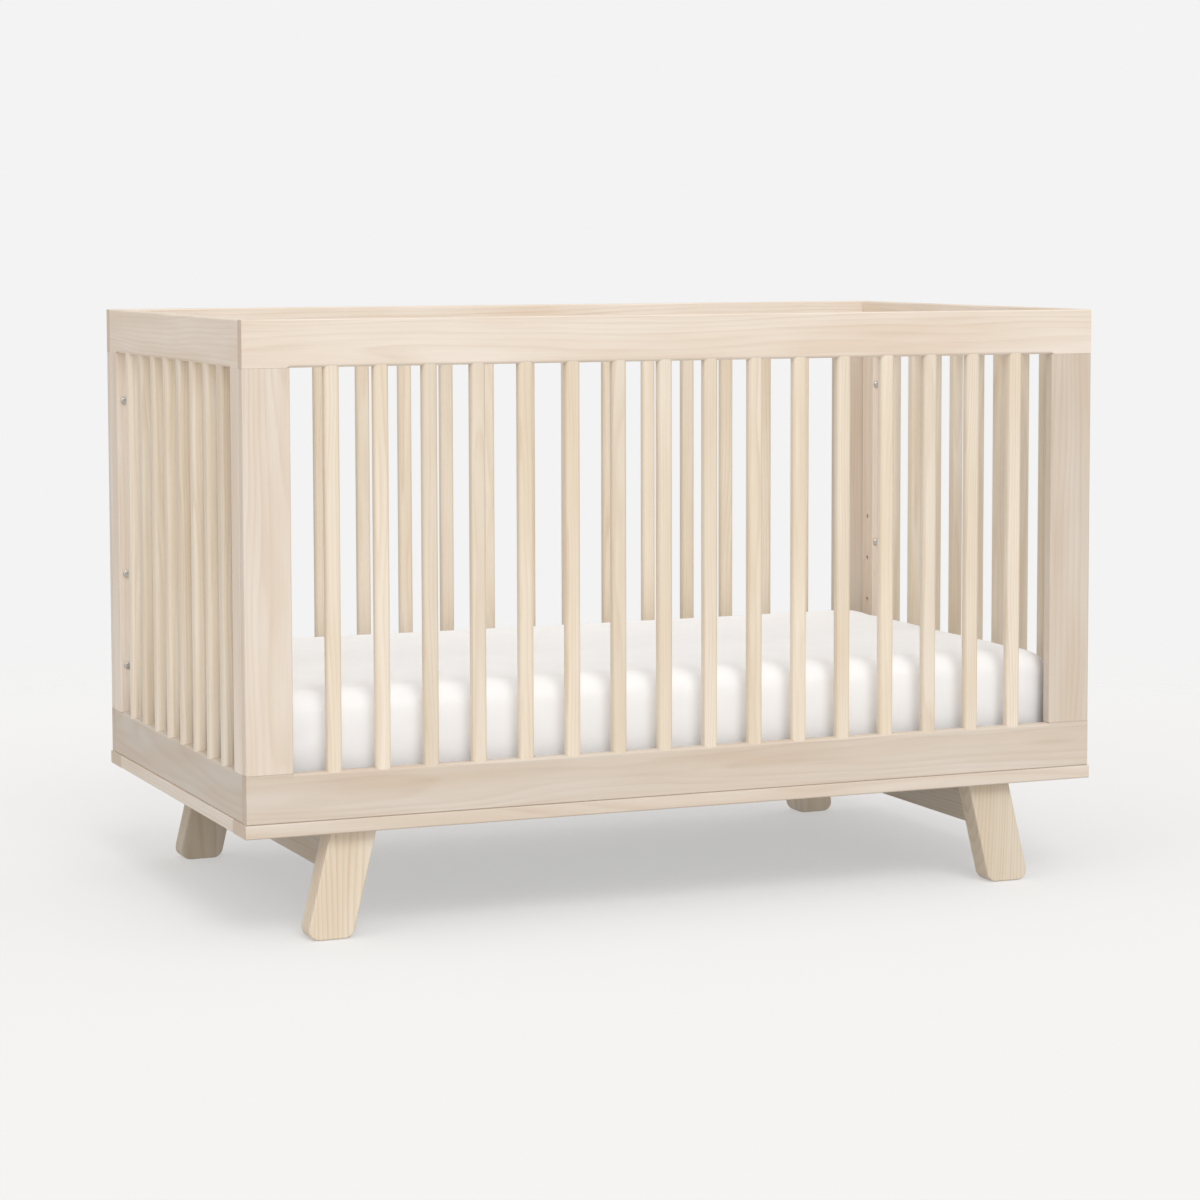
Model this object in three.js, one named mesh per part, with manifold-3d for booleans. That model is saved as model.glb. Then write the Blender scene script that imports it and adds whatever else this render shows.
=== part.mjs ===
// A full-size baby crib: four slatted panels bolted into a box, a base frame, splayed legs,
// a height-adjustable sprung mattress support and a mattress.
// Millimetres, +Z up. Origin on the floor at the middle of the crib; +X is its length, the front is -Y.

import * as THREE from 'three';
import { mergeVertices } from 'three/addons/utils/BufferGeometryUtils.js';
import Module from 'manifold-3d';

const wasm = await Module();
wasm.setup();

const quarterTurn = Math.PI / 2;

// Overall size
const cribLength = 1365;
const cribDepth = 756;
const cribHeight = 889;

// Panels
const boardThickness = 19;
const boardChamfer = 1.5;
const topRailHeight = 68;
const bottomRailHeight = 70;
const stileWidth = 70;
const endPostWidth = 40.5;
const slatWidth = 22.5;
const slatThickness = 17.5;
const slatEdgeRadius = 6.2;
const longPanelSlats = 16;
const endPanelSlats = 8;

// The strip that joins a panel's slats runs hidden in a groove in the rail
const stripWidth = 8.5;
const stripDepth = 10;
const tenonWidth = 16;
const tenonThickness = 7.5;
const tenonInStrip = 8;
const tenonInSlat = 16;
const fitGap = 0.25;

// How finely round things are faceted, and how near two vertices are to be one
const roundSides = 12;
const slatCornerSteps = 2;
const mergeTolerance = 1e-4;

// Base frame, legs and stretchers
const baseThickness = 20;
const baseBoardWidth = 64;
const baseOverhang = 2;
const legHeight = 157;
const legTopWidth = 70;
const legThickness = 40;
const legInset = 130;
const legSetback = 19;
const legSplay = THREE.MathUtils.degToRad(13.4);
const footRadius = 16;
const stretcherHeight = 72;
const stretcherThickness = 20;
const stretcherX = 526;

// Assembly bolts, through the end posts into the stiles of the long panels
const boltHeights = { low: 322, middle: 469, high: 745 };
const boltFromOutside = 12;
const boltHoleRadius = 3.5;
const boltHoleInStile = 11;
const boltShankRadius = 3;
const boltShankLength = 49.5;
const boltHeadRadius = 6;
const boltHeadHeight = 3.5;
const socketRadius = 2.3;
const socketDepth = 2;

// Pins in the posts' height holes, and the hangers that drop over them
const supportPinHeight = 294;
const supportHolePitch = 73;
const supportHoleCount = 4;
const supportHoleRadius = 4;
const supportHoleDepth = 13;
const pinRadius = 3.5;
const pinCollarRadius = 7;
const pinCollarLength = 3.75;
const pinEndFromPost = 6.5;
const pinLength = 18.5;
const hangerWidth = 30;
const hangerThickness = 2.5;
const hangerFromPost = 4.25;
const hangerAbovePin = 14;
const hangerSlotRadius = 4;

// Mattress support: a frame of steel angle with a deck of welded rods
const supportTop = 213;
const supportLength = 1313;
const supportDepth = 704;
const angleWidth = 25;
const angleThickness = 2.5;
const rodSize = 4;
const rodDrop = 2.5;
const longRodCount = 5;
const longRodPitch = 120;
const crossRodCount = 9;
const crossRodPitch = 126;

// Mattress
const mattressLength = 1311;
const mattressDepth = 696;
const mattressThickness = 139.5;
const mattressCornerRadius = 45;
const mattressEdgeRadius = 22;
const mattressLift = 0.5;

// Heights and faces that follow from the sizes above
const railBottom = legHeight + baseThickness;
const slatBottom = railBottom + bottomRailHeight;
const slatTop = cribHeight - topRailHeight;
const innerX = cribLength / 2 - boardThickness;
const innerY = cribDepth / 2 - boardThickness;
const postCentreY = innerY - endPostWidth / 2;
const baseHalfLength = cribLength / 2 + baseOverhang;
const baseHalfDepth = cribDepth / 2 + baseOverhang;

const pine = { color: 0xe7d8c2, roughness: 0.55, metalness: 0 };
const slatPine = { color: 0xe2d0b4, roughness: 0.5, metalness: 0 };
const zincSteel = { color: 0xb9b9b6, roughness: 0.3, metalness: 1 };
const greySteel = { color: 0x8f9294, roughness: 0.45, metalness: 0.8 };
const whiteSheet = { color: 0xf4f2ee, roughness: 0.9, metalness: 0 };

function newPiece(name, geometry, finish, x = 0, y = 0, z = 0) {
  const piece = new THREE.Mesh(geometry, new THREE.MeshStandardMaterial(finish));
  piece.name = name;
  piece.position.set(x, y, z);
  return piece;
}

// Joining and cutting

function solidOf(geometry) {
  const bare = geometry.clone();
  bare.deleteAttribute('normal');
  bare.deleteAttribute('uv');
  const merged = mergeVertices(bare, mergeTolerance);
  return new wasm.Manifold(new wasm.Mesh({
    numProp: 3,
    vertProperties: new Float32Array(merged.attributes.position.array),
    triVerts: new Uint32Array(merged.index.array),
  }));
}

function geometryOf(solid) {
  const mesh = solid.getMesh();
  const geometry = new THREE.BufferGeometry();
  geometry.setAttribute('position', new THREE.BufferAttribute(mesh.vertProperties, 3));
  geometry.setIndex(new THREE.BufferAttribute(mesh.triVerts, 1));
  geometry.computeVertexNormals();
  return geometry;
}

function joined(geometries) {
  return geometryOf(geometries.map(solidOf).reduce((sum, next) => sum.add(next)));
}

function cutAway(geometry, tools) {
  return geometryOf(tools.map(solidOf).reduce((rest, tool) => rest.subtract(tool), solidOf(geometry)));
}

// Stock shapes, each centred on its own middle

function easedBar(length, width, height) {
  // A board along Z with its four long edges eased
  const x = width / 2;
  const y = height / 2;
  const c = boardChamfer;
  const section = new THREE.Shape([
    new THREE.Vector2(-x + c, -y), new THREE.Vector2(x - c, -y),
    new THREE.Vector2(x, -y + c), new THREE.Vector2(x, y - c),
    new THREE.Vector2(x - c, y), new THREE.Vector2(-x + c, y),
    new THREE.Vector2(-x, y - c), new THREE.Vector2(-x, -y + c),
  ]);
  const bar = new THREE.ExtrudeGeometry(section, { depth: length, bevelEnabled: false });
  return bar.translate(0, 0, -length / 2);
}

function boardAlongX(length, depth, height) {
  return easedBar(length, height, depth).rotateY(quarterTurn);
}

function boardAlongY(length, width, height) {
  return easedBar(length, width, height).rotateX(quarterTurn);
}

function rodAlongX(radius, length) {
  return new THREE.CylinderGeometry(radius, radius, length, roundSides).rotateZ(quarterTurn);
}

function rodAlongY(radius, length) {
  return new THREE.CylinderGeometry(radius, radius, length, roundSides);
}

function sectionAlongX(shape, length) {
  // The section's own x and y become the crib's Y and Z
  return new THREE.ExtrudeGeometry(shape, { depth: length, bevelEnabled: false })
    .translate(0, 0, -length / 2)
    .rotateX(quarterTurn)
    .rotateZ(quarterTurn);
}

// Panels. Each is built lying along X with its inner face towards -Y, then turned into its place.

function grooveFor(clearWidth, side, railHeight) {
  const depth = stripDepth + fitGap;
  return new THREE.BoxGeometry(clearWidth, stripWidth + 2 * fitGap, 2 * depth)
    .translate(0, 0, side * railHeight / 2);
}

function slatBank(slatCount, clearWidth) {
  // One panel's slats, with tenons at their ends that join them to the strips in the rails' grooves
  const gap = (clearWidth - slatCount * slatWidth) / (slatCount + 1);
  const r = slatEdgeRadius;
  const x0 = slatWidth / 2 - r;
  const y0 = slatThickness / 2 - r;
  const section = new THREE.Shape();
  section.moveTo(slatWidth / 2, y0);
  section.absarc(x0, y0, r, 0, quarterTurn, false);
  section.absarc(-x0, y0, r, quarterTurn, Math.PI, false);
  section.absarc(-x0, -y0, r, Math.PI, 1.5 * Math.PI, false);
  section.absarc(x0, -y0, r, 1.5 * Math.PI, 2 * Math.PI, false);
  const slatLength = slatTop - slatBottom - 2 * fitGap;
  const parts = [];
  for (let i = 0; i < slatCount; i += 1) {
    const x = (i - (slatCount - 1) / 2) * (slatWidth + gap);
    parts.push(new THREE.ExtrudeGeometry(section, {
      depth: slatLength,
      bevelEnabled: false,
      curveSegments: slatCornerSteps,
    }).translate(x, 0, slatBottom + fitGap));
    for (const [railFace, side] of [[slatBottom, -1], [slatTop, 1]]) {
      parts.push(new THREE.BoxGeometry(tenonWidth, tenonThickness, tenonInStrip + tenonInSlat)
        .translate(x, 0, railFace + side * (tenonInStrip - tenonInSlat) / 2));
    }
  }
  for (const [railFace, side] of [[slatBottom, -1], [slatTop, 1]]) {
    parts.push(new THREE.BoxGeometry(clearWidth - 2 * fitGap, stripWidth, stripDepth)
      .translate(0, 0, railFace + side * stripDepth / 2));
  }
  return joined(parts);
}

function panel(length, uprightWidth, slatCount, names, cutUpright) {
  // Two rails, two uprights between them and a bank of slats
  const clearWidth = length - 2 * uprightWidth;
  const uprightX = (length - uprightWidth) / 2;
  const uprightLength = slatTop - slatBottom;
  const group = new THREE.Group();
  const topRail = cutAway(
    boardAlongX(length, boardThickness, topRailHeight),
    [grooveFor(clearWidth, -1, topRailHeight)],
  );
  const bottomRail = cutAway(
    boardAlongX(length, boardThickness, bottomRailHeight),
    [grooveFor(clearWidth, 1, bottomRailHeight)],
  );
  group.add(newPiece(names.topRail, topRail, pine, 0, 0, cribHeight - topRailHeight / 2));
  group.add(newPiece(names.bottomRail, bottomRail, pine, 0, 0, railBottom + bottomRailHeight / 2));
  for (const [name, side] of [[names.uprightBefore, -1], [names.uprightAfter, 1]]) {
    const upright = easedBar(uprightLength, uprightWidth, boardThickness);
    const middle = (slatBottom + slatTop) / 2;
    group.add(newPiece(name, cutAway(upright, cutUpright(side, middle)), pine, side * uprightX, 0, middle));
  }
  group.add(newPiece(names.slats, slatBank(slatCount, clearWidth), slatPine));
  return group;
}

function stileHoles(side, middle) {
  // Blind holes for the bolts, drilled from the stile's inner face
  const x = side * (stileWidth / 2 - boltFromOutside);
  return Object.values(boltHeights).map((height) => (
    rodAlongY(boltHoleRadius, 2 * boltHoleInStile).translate(x, -boardThickness / 2, height - middle)
  ));
}

function postHoles(side, middle) {
  // Bolt holes right through the post, and a row of blind holes for the support pins on its inner face
  const boltY = boardThickness / 2 - boltFromOutside;
  const holes = Object.values(boltHeights).map((height) => (
    rodAlongX(boltHoleRadius, 2 * endPostWidth).translate(0, boltY, height - middle)
  ));
  for (let i = 0; i < supportHoleCount; i += 1) {
    const height = supportPinHeight + i * supportHolePitch;
    holes.push(rodAlongY(supportHoleRadius, 2 * supportHoleDepth)
      .translate(0, -boardThickness / 2, height - middle));
  }
  return holes;
}

function longPanel(row) {
  const before = row === 'front' ? 'right' : 'left';
  const after = row === 'front' ? 'left' : 'right';
  return panel(cribLength, stileWidth, longPanelSlats, {
    topRail: `${row}_top_rail`,
    bottomRail: `${row}_bottom_rail`,
    uprightBefore: `${row}_${before}_stile`,
    uprightAfter: `${row}_${after}_stile`,
    slats: `${row}_slats`,
  }, stileHoles);
}

function assemblyBolt() {
  // Along X, head towards -X: a domed head with a hexagon socket, and a plain shank
  const profile = [];
  const domeSteps = 4;
  for (let i = 0; i <= domeSteps; i += 1) {
    const angle = (i / domeSteps) * quarterTurn;
    profile.push(new THREE.Vector2(
      i === 0 ? 0 : boltHeadRadius * Math.sin(angle),
      -fitGap - boltHeadHeight * Math.cos(angle),
    ));
  }
  profile.push(new THREE.Vector2(boltShankRadius, -fitGap));
  profile.push(new THREE.Vector2(boltShankRadius, boltShankLength));
  profile.push(new THREE.Vector2(0, boltShankLength));
  const socket = new THREE.CylinderGeometry(socketRadius, socketRadius, 2 * socketDepth, 6)
    .translate(0, -fitGap - boltHeadHeight, 0);
  return cutAway(new THREE.LatheGeometry(profile, roundSides), [socket]).rotateZ(-quarterTurn);
}

function endPanel(end) {
  const length = 2 * (innerY - fitGap);
  const postWidth = endPostWidth - fitGap;
  const before = end === 'left' ? 'front' : 'rear';
  const after = end === 'left' ? 'rear' : 'front';
  const group = panel(length, postWidth, endPanelSlats, {
    topRail: `${end}_top_rail`,
    bottomRail: `${end}_bottom_rail`,
    uprightBefore: `${end}_${before}_post`,
    uprightAfter: `${end}_${after}_post`,
    slats: `${end}_slats`,
  }, postHoles);
  for (const [row, side] of [[before, -1], [after, 1]]) {
    for (const [level, height] of Object.entries(boltHeights)) {
      const x = side * (innerY - endPostWidth);
      const y = boardThickness / 2 - boltFromOutside;
      const bolt = newPiece(`bolt_${end}_${row}_${level}`, assemblyBolt(), zincSteel, x, y, height);
      bolt.rotation.z = side < 0 ? Math.PI : 0;
      group.add(bolt);
    }
  }
  return group;
}

function panels() {
  const group = new THREE.Group();
  const longPanelY = (cribDepth - boardThickness) / 2;
  const endPanelX = (cribLength - boardThickness) / 2;
  const front = longPanel('front');
  front.position.y = -longPanelY;
  front.rotation.z = Math.PI;
  const back = longPanel('back');
  back.position.y = longPanelY;
  const left = endPanel('left');
  left.position.x = -endPanelX;
  left.rotation.z = quarterTurn;
  const right = endPanel('right');
  right.position.x = endPanelX;
  right.rotation.z = -quarterTurn;
  return group.add(front, back, left, right);
}

// Base frame, legs and stretchers

function baseFrame() {
  const group = new THREE.Group();
  const z = legHeight + baseThickness / 2;
  const longY = baseHalfDepth - baseBoardWidth / 2;
  const shortX = baseHalfLength - baseBoardWidth / 2;
  const shortLength = 2 * (baseHalfDepth - baseBoardWidth);
  for (const [name, side] of [['base_front_board', -1], ['base_rear_board', 1]]) {
    const board = boardAlongX(2 * baseHalfLength, baseBoardWidth, baseThickness);
    group.add(newPiece(name, board, pine, 0, side * longY, z));
  }
  for (const [name, side] of [['base_left_board', -1], ['base_right_board', 1]]) {
    const board = boardAlongY(shortLength, baseBoardWidth, baseThickness);
    group.add(newPiece(name, board, pine, side * shortX, 0, z));
  }
  return group;
}

function legOutline() {
  // The right leg from the front, foot on z = 0. Each foot corner is an arc tangent to the floor and a side.
  const drift = legHeight * Math.tan(legSplay);
  const outer = cribLength / 2 - legInset;
  const inner = outer - legTopWidth;
  const halfAcute = (quarterTurn - legSplay) / 2;
  const innerArcX = inner + drift + footRadius * Math.tan(halfAcute);
  const outerArcX = outer + drift - footRadius / Math.tan(halfAcute);
  const outline = new THREE.Shape();
  outline.moveTo(outer, legHeight);
  outline.lineTo(inner, legHeight);
  outline.absarc(innerArcX, footRadius, footRadius, Math.PI + legSplay, 1.5 * Math.PI, false);
  outline.absarc(outerArcX, footRadius, footRadius, -quarterTurn, legSplay, false);
  return outline;
}

function legsAndStretchers() {
  const group = new THREE.Group();
  const legY = cribDepth / 2 - legSetback - legThickness / 2;
  for (const [end, side] of [['left', -1], ['right', 1]]) {
    for (const [row, y] of [['front', -legY], ['rear', legY]]) {
      const leg = new THREE.ExtrudeGeometry(legOutline(), {
        depth: legThickness,
        bevelEnabled: false,
        curveSegments: 5,
      }).translate(0, 0, -legThickness / 2).rotateX(quarterTurn);
      const piece = newPiece(`leg_${row}_${end}`, leg, pine, 0, y, 0);
      piece.rotation.z = side < 0 ? Math.PI : 0;
      group.add(piece);
    }
    const stretcherLength = 2 * (legY - legThickness / 2 - fitGap);
    const stretcher = boardAlongY(stretcherLength, stretcherThickness, stretcherHeight);
    const z = legHeight - stretcherHeight / 2;
    group.add(newPiece(`stretcher_${end}`, stretcher, pine, side * stretcherX, 0, z));
  }
  return group;
}

// Mattress support

function angleRail(length) {
  // Steel angle along X: outer face at y = 0, top face at z = 0
  const w = angleWidth;
  const t = angleThickness;
  const section = new THREE.Shape([
    new THREE.Vector2(-w, -t), new THREE.Vector2(-t, -t), new THREE.Vector2(-t, -w),
    new THREE.Vector2(0, -w), new THREE.Vector2(0, 0), new THREE.Vector2(-w, 0),
  ]);
  return sectionAlongX(section, length);
}

function rodDeck() {
  const longLength = supportLength - 2 * angleWidth - 2 * fitGap;
  const crossLength = supportDepth - 2 * angleWidth - 2 * fitGap;
  const rods = [];
  for (let i = 0; i < longRodCount; i += 1) {
    const y = (i - (longRodCount - 1) / 2) * longRodPitch;
    rods.push(new THREE.BoxGeometry(longLength, rodSize, rodSize).translate(0, y, 0));
  }
  for (let i = 0; i < crossRodCount; i += 1) {
    // The cross rods lie a quarter of a rod lower, sunk into the long ones where they are welded
    const x = (i - (crossRodCount - 1) / 2) * crossRodPitch;
    rods.push(new THREE.BoxGeometry(rodSize, crossLength, rodSize).translate(x, 0, -rodSize / 4));
  }
  return joined(rods);
}

function hanger() {
  // A plate with a slot that is open at the bottom, so that the support lifts straight off its pins
  const half = hangerWidth / 2;
  const foot = supportTop - angleWidth;
  const plate = new THREE.Shape();
  plate.moveTo(-half, foot);
  plate.lineTo(-hangerSlotRadius, foot);
  plate.absarc(0, supportPinHeight, hangerSlotRadius, Math.PI, 0, true);
  plate.lineTo(hangerSlotRadius, foot);
  plate.lineTo(half, foot);
  plate.lineTo(half, supportPinHeight + hangerAbovePin);
  plate.lineTo(-half, supportPinHeight + hangerAbovePin);
  return sectionAlongX(plate, hangerThickness);
}

function supportPin() {
  // Along X from the end inside the hanger's slot, past the collar and into the post
  const collarStart = pinEndFromPost - pinCollarLength;
  const collarEnd = pinEndFromPost - fitGap;
  return new THREE.LatheGeometry([
    new THREE.Vector2(0, 0),
    new THREE.Vector2(pinRadius, 0),
    new THREE.Vector2(pinRadius, collarStart),
    new THREE.Vector2(pinCollarRadius, collarStart),
    new THREE.Vector2(pinCollarRadius, collarEnd),
    new THREE.Vector2(pinRadius, collarEnd),
    new THREE.Vector2(pinRadius, pinLength),
    new THREE.Vector2(0, pinLength),
  ], roundSides).rotateZ(-quarterTurn);
}

function mattressSupport() {
  const group = new THREE.Group();
  const endRailLength = supportDepth - 2 * angleWidth - 2 * fitGap;
  const rails = [
    ['support_rear_rail', supportLength, 0, supportDepth / 2],
    ['support_front_rail', supportLength, Math.PI, supportDepth / 2],
    ['support_left_rail', endRailLength, quarterTurn, supportLength / 2],
    ['support_right_rail', endRailLength, -quarterTurn, supportLength / 2],
  ];
  for (const [name, length, turn, reach] of rails) {
    const x = -reach * Math.sin(turn);
    const y = reach * Math.cos(turn);
    const rail = newPiece(name, angleRail(length), greySteel, x, y, supportTop);
    rail.rotation.z = turn;
    group.add(rail);
  }
  group.add(newPiece('support_deck', rodDeck(), greySteel, 0, 0, supportTop - rodDrop));
  for (const [end, side] of [['left', -1], ['right', 1]]) {
    for (const [row, y] of [['front', -postCentreY], ['rear', postCentreY]]) {
      const hangerX = side * (innerX - hangerFromPost - hangerThickness / 2);
      group.add(newPiece(`hanger_${row}_${end}`, hanger(), greySteel, hangerX, y, 0));
      const pinX = side * (innerX - pinEndFromPost);
      const pin = newPiece(`support_pin_${row}_${end}`, supportPin(), zincSteel, pinX, y, supportPinHeight);
      pin.rotation.z = side < 0 ? Math.PI : 0;
      group.add(pin);
    }
  }
  return group;
}

// Mattress in its fitted sheet

function mattress() {
  const r = mattressEdgeRadius;
  const x = mattressLength / 2 - r;
  const y = mattressDepth / 2 - r;
  const c = mattressCornerRadius - r;
  const outline = new THREE.Shape();
  outline.moveTo(x, y - c);
  outline.absarc(x - c, y - c, c, 0, quarterTurn, false);
  outline.absarc(-x + c, y - c, c, quarterTurn, Math.PI, false);
  outline.absarc(-x + c, -y + c, c, Math.PI, 1.5 * Math.PI, false);
  outline.absarc(x - c, -y + c, c, 1.5 * Math.PI, 2 * Math.PI, false);
  const pad = new THREE.ExtrudeGeometry(outline, {
    depth: mattressThickness - 2 * r,
    bevelSize: r,
    bevelThickness: r,
    bevelSegments: 3,
    curveSegments: 4,
  });
  return newPiece('mattress', pad, whiteSheet, 0, 0, supportTop + mattressLift + r);
}

const crib = new THREE.Group();
crib.add(panels(), baseFrame(), legsAndStretchers(), mattressSupport(), mattress());

export default crib;
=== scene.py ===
# A full-size baby crib in lacquered pine, with a sprung steel mattress support and a mattress in a
# white fitted sheet. Metres, +Z up, front towards -Y.

import math
import random

import bmesh
import bpy
from mathutils import Euler, Matrix, Vector


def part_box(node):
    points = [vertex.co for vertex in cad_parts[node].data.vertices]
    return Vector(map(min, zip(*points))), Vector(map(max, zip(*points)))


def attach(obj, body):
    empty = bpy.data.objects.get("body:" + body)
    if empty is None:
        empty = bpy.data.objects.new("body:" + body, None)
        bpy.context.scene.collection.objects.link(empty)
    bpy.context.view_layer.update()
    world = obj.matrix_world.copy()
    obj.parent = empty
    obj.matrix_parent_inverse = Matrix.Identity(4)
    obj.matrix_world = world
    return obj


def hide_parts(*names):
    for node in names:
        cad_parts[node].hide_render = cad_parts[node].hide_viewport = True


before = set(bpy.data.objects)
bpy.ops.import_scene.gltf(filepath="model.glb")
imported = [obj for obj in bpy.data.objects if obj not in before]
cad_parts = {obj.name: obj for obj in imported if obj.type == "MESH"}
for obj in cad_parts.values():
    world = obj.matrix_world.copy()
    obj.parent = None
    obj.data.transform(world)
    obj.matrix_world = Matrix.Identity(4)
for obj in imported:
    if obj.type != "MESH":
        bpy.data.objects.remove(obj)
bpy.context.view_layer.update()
mm = 0.001


# Camera, light and floor

camera = {
    "lens": 99.5,
    "place": (-1.9971, -4.8310, 1.0055),
    "heading": 22.61,  # degrees from +Y towards +X
    "dip": 4.57,  # degrees below level
    "roll": -0.14,
    "shift": -0.0833,
}


def makeCamera():
    data = bpy.data.cameras.new("camera")
    data.lens = camera["lens"]
    data.sensor_width = 36
    data.shift_y = camera["shift"]
    data.clip_start = 0.05
    data.clip_end = 200
    item = bpy.data.objects.new("camera", data)
    turn = Euler((math.radians(90 - camera["dip"]), 0, -math.radians(camera["heading"])))
    roll = Matrix.Rotation(math.radians(camera["roll"]), 4, "Z")
    item.matrix_world = Matrix.Translation(camera["place"]) @ turn.to_matrix().to_4x4() @ roll
    bpy.context.scene.collection.objects.link(item)
    bpy.context.scene.camera = item


def linear(code):
    # An sRGB hex colour as the linear colour that a shader wants
    parts = [int(code[i:i + 2], 16) / 255 for i in (0, 2, 4)]
    return tuple(c / 12.92 if c <= 0.04045 else ((c + 0.055) / 1.055) ** 2.4 for c in parts) + (1,)


def addNode(tree, kind, settings=None, links=None):
    # A node with its settings, by property name or by socket, and its links, from output sockets
    node = tree.nodes.new(kind)
    for key, value in (settings or {}).items():
        if isinstance(key, str) and hasattr(node, key):
            setattr(node, key, value)
        else:
            node.inputs[key].default_value = value
    for key, source in (links or {}).items():
        tree.links.new(source, node.inputs[key])
    return node


studio = {
    "backdrop": "F3F3F3",
    "fillFront": 0.88,  # open light from in front and above
    "fillBack": 0.50,  # open light from behind and below
    "fillColour": "FFFDFB",
    "fillFrom": (-0.1, -0.57, 0.82),  # the way that the open light is strongest
    "floorColour": "EAEAEA",
    "floorClear": 0.42,  # lets some of the backdrop through, so that shadows stay light
    "floorFadeFrom": 1.5,
    "floorFadeTo": 3.4,
}
lamps = {
    # Degrees: rise above level, turn from straight ahead towards the right, spread across
    "key": {"strength": 1.12, "rise": 44, "turn": -6, "spread": 26, "colour": "FEFEFF"},
    "side": {"strength": 0.36, "rise": 34, "turn": -58, "spread": 40, "colour": "FFF9F1"},
}


def makeStudio():
    world = bpy.data.worlds.new("studio")
    bpy.context.scene.world = world
    world.use_nodes = True
    tree = world.node_tree
    tree.nodes.clear()
    place = addNode(tree, "ShaderNodeTexCoord")
    # How far each direction faces the light, from -1 to 1
    facing = addNode(tree, "ShaderNodeVectorMath", {"operation": "DOT_PRODUCT", 1: studio["fillFrom"]},
                     {0: place.outputs["Generated"]})
    level = addNode(tree, "ShaderNodeMapRange", {
        "interpolation_type": "SMOOTHSTEP", "From Min": -0.8, "From Max": 0.9,
        "To Min": studio["fillBack"], "To Max": studio["fillFront"]}, {"Value": facing.outputs["Value"]})
    fill = addNode(tree, "ShaderNodeBackground", {"Color": linear(studio["fillColour"])},
                   {"Strength": level.outputs["Result"]})
    plain = addNode(tree, "ShaderNodeBackground", {"Color": linear(studio["backdrop"])})
    path = addNode(tree, "ShaderNodeLightPath")
    mix = addNode(tree, "ShaderNodeMixShader", None,
                  {0: path.outputs["Is Camera Ray"], 1: fill.outputs[0], 2: plain.outputs[0]})
    addNode(tree, "ShaderNodeOutputWorld", None, {"Surface": mix.outputs[0]})

    for name, lamp in lamps.items():
        light = bpy.data.lights.new(name, "SUN")
        light.energy = lamp["strength"]
        light.angle = math.radians(lamp["spread"])
        light.color = linear(lamp["colour"])[:3]
        item = bpy.data.objects.new(name, light)
        item.rotation_euler = (math.radians(90 - lamp["rise"]), 0, math.radians(lamp["turn"]))
        bpy.context.scene.collection.objects.link(item)

    bpy.ops.mesh.primitive_plane_add(size=40, location=(0, 0, -0.0005))
    floor = bpy.context.object
    floor.name = "floor"
    paper = bpy.data.materials.new("paper sweep")
    paper.use_nodes = True
    tree = paper.node_tree
    tree.nodes.clear()
    place = addNode(tree, "ShaderNodeTexCoord")
    far = addNode(tree, "ShaderNodeVectorMath", {"operation": "LENGTH"}, {0: place.outputs["Object"]})
    fade = addNode(tree, "ShaderNodeMapRange", {
        "interpolation_type": "SMOOTHSTEP", "From Min": studio["floorFadeFrom"],
        "From Max": studio["floorFadeTo"], "To Min": studio["floorClear"]},
        {"Value": far.outputs["Value"]})
    matte = addNode(tree, "ShaderNodeBsdfDiffuse", {"Color": linear(studio["floorColour"])})
    clear = addNode(tree, "ShaderNodeBsdfTransparent")
    mix = addNode(tree, "ShaderNodeMixShader", None,
                  {0: fade.outputs["Result"], 1: matte.outputs[0], 2: clear.outputs[0]})
    addNode(tree, "ShaderNodeOutputMaterial", None, {"Surface": mix.outputs[0]})
    floor.data.materials.append(paper)


# Materials

pine = {
    "fibreWidth": 0.9 * mm,  # drawn wider than the real 0.04 mm fibres, so that they show
    "streakWidth": 9 * mm,
    "wander": (1.6, 9.0, 9.0),  # bends in the rings, per metre along and across the grain
    "wanderReach": 35 * mm,
    "patches": (3.0, 22.0, 22.0),  # patches of warmer wood, per metre
    "endGrain": 0.45,
    "fromPith": (0.05, 0.14),  # how far from the log's middle a piece is cut
    "slope": 0.012,  # how far the grain runs off along a piece
    "roughness": 0.44,
    "coat": 0.12,
}


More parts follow.
